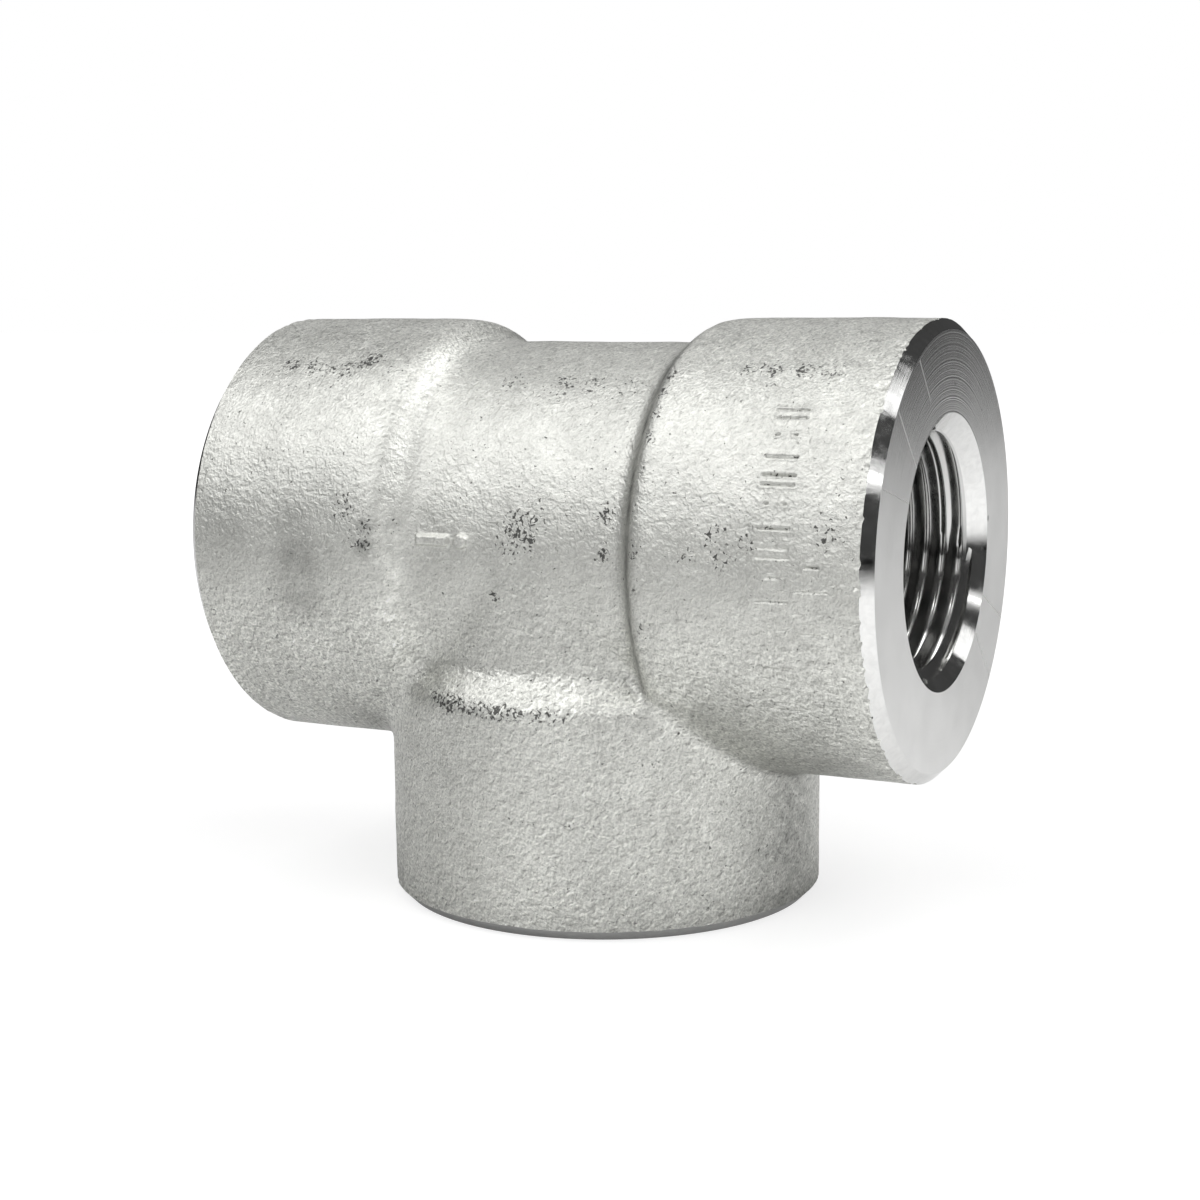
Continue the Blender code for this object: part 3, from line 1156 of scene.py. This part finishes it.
pitting = tee.data.attributes.new("pitting", "FLOAT", "POINT")
smudge = tee.data.attributes.new("smudge", "FLOAT", "POINT")
for vert in tee.data.vertices:
    place = vert.co - CROSSING
    weight = 0.0
    for row, degrees, kind, deep in PUNCHES:
        if abs(place.x - row) < DIRT_REACH and place.y < 0:
            off = punch_distance(place, row, degrees, kind)
            weight = max(weight, STROKE_DIRT * deep * (1 - off / (2 * STAMP_WIDTH)))
    for middle, size, thick in patches:
        away = (place - middle).length
        if away < 2 * size:
            weight = max(weight, thick * (1 - smooth_step(away / (2 * size))))
    pitting.data[vert.index].value = weight
    # Painted shade on the right shoulder and a painted highlight on the left one, then the patches
    shade = shoulder_shade(place)
    for middle, size, dark in SMUDGES:
        away = (place - Vector(middle) / 1000).length * 1000
        if away < size:
            shade = max(shade, dark * (1 - smooth_step(away / size)), key=abs)
    smudge.data[vert.index].value = shade

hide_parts("tee_body")
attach(tee, "root")

# Studio
# The tee stands on a white board, with soft boxes round it. The board ends in front, at the
# sides and far behind, and the room is dim, which gives bright steel something to mirror.

BOARD_SIZE = 6
# The board's grey, its middle, between which distances from there it ends, and the grey beyond
BOARD_PAPER = 0.80
BOARD_MIDDLE = (0, 0.42, 0)
BOARD_EDGE = (0.54, 0.78)
BOARD_BEYOND = 0.10
# What the camera sees round the tee: a white, to which light adds the rest, and between which
# distances from the tee it turns into plain white
BOARD_WHITE = 0.74
BOARD_SHADE = 0.35
WHITE_REACH = (0.10, 0.35)
# Pools of light painted on the board as a glow that only the steel sees: each one's middle, from
# where to where it fades, and how bright
SPILLS = [
    ((0.14, -0.03, 0), (0.04, 0.18), 0.45),
    ((0.17, 0.52, 0), (0.10, 0.40), 0.22),
]
# A painted shadow on the board below the tee, as the steel sees it: how much of the board's grey
# and glow it leaves, and where that shade ends
UNDER_SHADE = 0.5
UNDER_TEE = (0.022, 0.036)
ROOM = 0.06
# Each soft box: degrees round from the front towards the right, degrees up, width and height
# at 0.8 m from the tee, and brightness
SOFT_BOXES = [
    ("key", 328, 38, 0.75, 0.42, 1.80),
    ("left", 280, 48, 0.45, 0.60, 0.70),
    ("right_front", 60, 38, 0.40, 0.40, 3.6),
    ("low_front", 0, 13, 1.00, 0.30, 1.1),
    ("top_front", 0, 64, 0.60, 0.35, 0.86),
    ("top_left", 300, 66, 0.50, 0.35, 1.25),
    ("top_right", 120, 62, 0.40, 0.40, 3.3),
    ("top", 0, 88, 0.40, 0.40, 1.45),
    ("right_window", 113, 38.5, 0.33, 0.14, 1.5),
    ("low_strip", 80, 23.3, 0.21, 0.034, 2.0),
    ("low_glow", 80, 24, 0.21, 0.13, 0.75),
    ("back", 205, 42, 0.60, 0.40, 0.84),
]
BOX_DISTANCE = 0.8

bpy.ops.object.select_all(action="DESELECT")
bpy.ops.mesh.primitive_plane_add(size=BOARD_SIZE, location=(0, 0, 0))
board = bpy.context.object
board.name = "board"
paper = bpy.data.materials.new("white_board")
paper.use_nodes = True
paper.node_tree.nodes.clear()

spot = add(paper, "ShaderNodeTexCoord", {}).outputs["Object"]
away = vector(paper, "LENGTH", spot).outputs["Value"]
white_out = ramp(paper, away, *WHITE_REACH, BOARD_WHITE, 1.0)
glow = add(paper, "ShaderNodeEmission", {"Strength": white_out})
shade = add(paper, "ShaderNodeBsdfDiffuse", {"Color": (BOARD_SHADE,) * 3 + (1,)})
seen_by_camera = add(paper, "ShaderNodeAddShader", {0: glow.outputs[0], 1: shade.outputs[0]})
from_middle = vector(paper, "DISTANCE", spot, BOARD_MIDDLE).outputs["Value"]
# Painted shadow below the tee, on what the steel sees of the board
under = ramp(paper, away, *UNDER_TEE, UNDER_SHADE, 1.0)
paper_grey = ramp(paper, from_middle, *BOARD_EDGE, BOARD_PAPER, BOARD_BEYOND)
paper_grey = calc(paper, "MULTIPLY", paper_grey, under)
# Painted pools of light: a glow on the board, seen only by the steel
spilt = 0.0
for middle, fade, strength in SPILLS:
    from_spill = vector(paper, "DISTANCE", spot, middle).outputs["Value"]
    spilt = calc(paper, "ADD", ramp(paper, from_spill, *fade, strength, 0.0), spilt)
spill = add(paper, "ShaderNodeEmission", {"Strength": calc(paper, "MULTIPLY", spilt, under)})
matt = add(paper, "ShaderNodeBsdfDiffuse", {"Color": paper_grey})
seen_by_steel = add(paper, "ShaderNodeAddShader", {0: matt.outputs[0], 1: spill.outputs[0]})
rays = add(paper, "ShaderNodeLightPath", {})
both = add(
    paper,
    "ShaderNodeMixShader",
    {0: rays.outputs["Is Camera Ray"], 1: seen_by_steel.outputs[0], 2: seen_by_camera.outputs[0]},
)
add(paper, "ShaderNodeOutputMaterial", {"Surface": both.outputs[0]})
board.data.materials.append(paper)
board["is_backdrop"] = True

world = bpy.data.worlds.new("studio")
bpy.context.scene.world = world
world.use_nodes = True
world.node_tree.nodes.clear()
rays = add(world, "ShaderNodeLightPath", {})
room = add(world, "ShaderNodeBackground", {"Strength": ROOM})
white = add(world, "ShaderNodeBackground", {"Strength": 1.0})
for background in (room, white):
    background.inputs["Color"].default_value = (1, 1, 1, 1)
both = add(
    world,
    "ShaderNodeMixShader",
    {0: rays.outputs["Is Camera Ray"], 1: room.outputs[0], 2: white.outputs[0]},
)
add(world, "ShaderNodeOutputWorld", {"Surface": both.outputs[0]})

for name, round_degrees, up_degrees, width, height, brightness in SOFT_BOXES:
    turn, rise = math.radians(round_degrees), math.radians(up_degrees)
    flat = math.cos(rise)
    way = Vector((math.sin(turn) * flat, -math.cos(turn) * flat, math.sin(rise)))
    light = bpy.data.lights.new(name, "AREA")
    light.shape = "RECTANGLE"
    light.size = width
    light.size_y = height
    light.energy = brightness * math.pi * width * height
    lamp = bpy.data.objects.new(name, light)
    facing = way.to_track_quat("Z", "Y").to_matrix().to_4x4()
    lamp.matrix_world = Matrix.Translation(CROSSING + way * BOX_DISTANCE) @ facing
    bpy.context.scene.collection.objects.link(lamp)

# Camera
# It stands to the right of the tee's front and a little above, looks slightly down, and is
# turned back towards the tee.

# How far it is turned to the left and tilted down, its roll, and its place from the crossing
YAW = math.radians(26.715)
TILT = math.radians(9.196)
ROLL = math.radians(0.445)
STAND = Vector((0.09763, -0.19546, 0.02535))
# Lens and sensor in millimetres, and how far its view is moved up, as a share of the frame
FOCAL = 61.26
SENSOR = 36
RAISED = 28 / 1200
NEAREST = 0.01

forward = Vector(
    (-math.sin(YAW) * math.cos(TILT), math.cos(YAW) * math.cos(TILT), -math.sin(TILT))
)
level = Vector((math.cos(YAW), math.sin(YAW), 0))
below = forward.cross(level)
across = math.cos(ROLL) * level + math.sin(ROLL) * below
down = -math.sin(ROLL) * level + math.cos(ROLL) * below
camera_data = bpy.data.cameras.new("camera")
camera = bpy.data.objects.new("camera", camera_data)
bpy.context.scene.collection.objects.link(camera)
turn = Matrix((across, -down, -forward)).transposed()
camera.matrix_world = Matrix.Translation(CROSSING + STAND) @ turn.to_4x4()
camera_data.sensor_width = SENSOR
camera_data.lens = FOCAL
camera_data.shift_y = RAISED
camera_data.clip_start = NEAREST
bpy.context.scene.camera = camera
bpy.context.scene.view_settings.view_transform = "Standard"

boxes = {"cad": cad_box, "visual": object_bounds()}
{name: [list(map(float, corner)) for corner in box] for name, box in boxes.items()}
